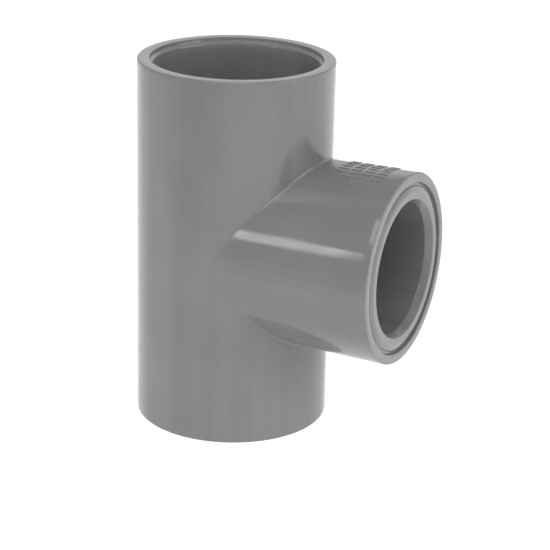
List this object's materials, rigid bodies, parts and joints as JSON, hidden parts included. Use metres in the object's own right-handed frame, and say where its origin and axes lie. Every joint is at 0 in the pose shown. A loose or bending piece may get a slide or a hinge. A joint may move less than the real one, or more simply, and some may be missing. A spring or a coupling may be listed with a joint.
{
  "type": "pipe tee fitting",
  "caption": "Grey plastic pipe tee with a reducing bush cemented in its side branch, joining a smaller side pipe to a straight run.",
  "frame": {"origin": "centre of the fitting's box at the lower mouth of the run, so the fitting stands on z = 0", "axes": "+Z along the straight run, +X out of the side branch, +Y across both"},
  "size_m": [0.11, 0.075, 0.142],
  "materials": {
    "tee_plastic": "satin moulded grey PVC-U",
    "bush_plastic": "satin moulded grey PVC-U"
  },
  "bodies": {
    "root": {"tee_body": "tee_plastic", "reducing_bush": "bush_plastic"}
  },
  "joints": []
}
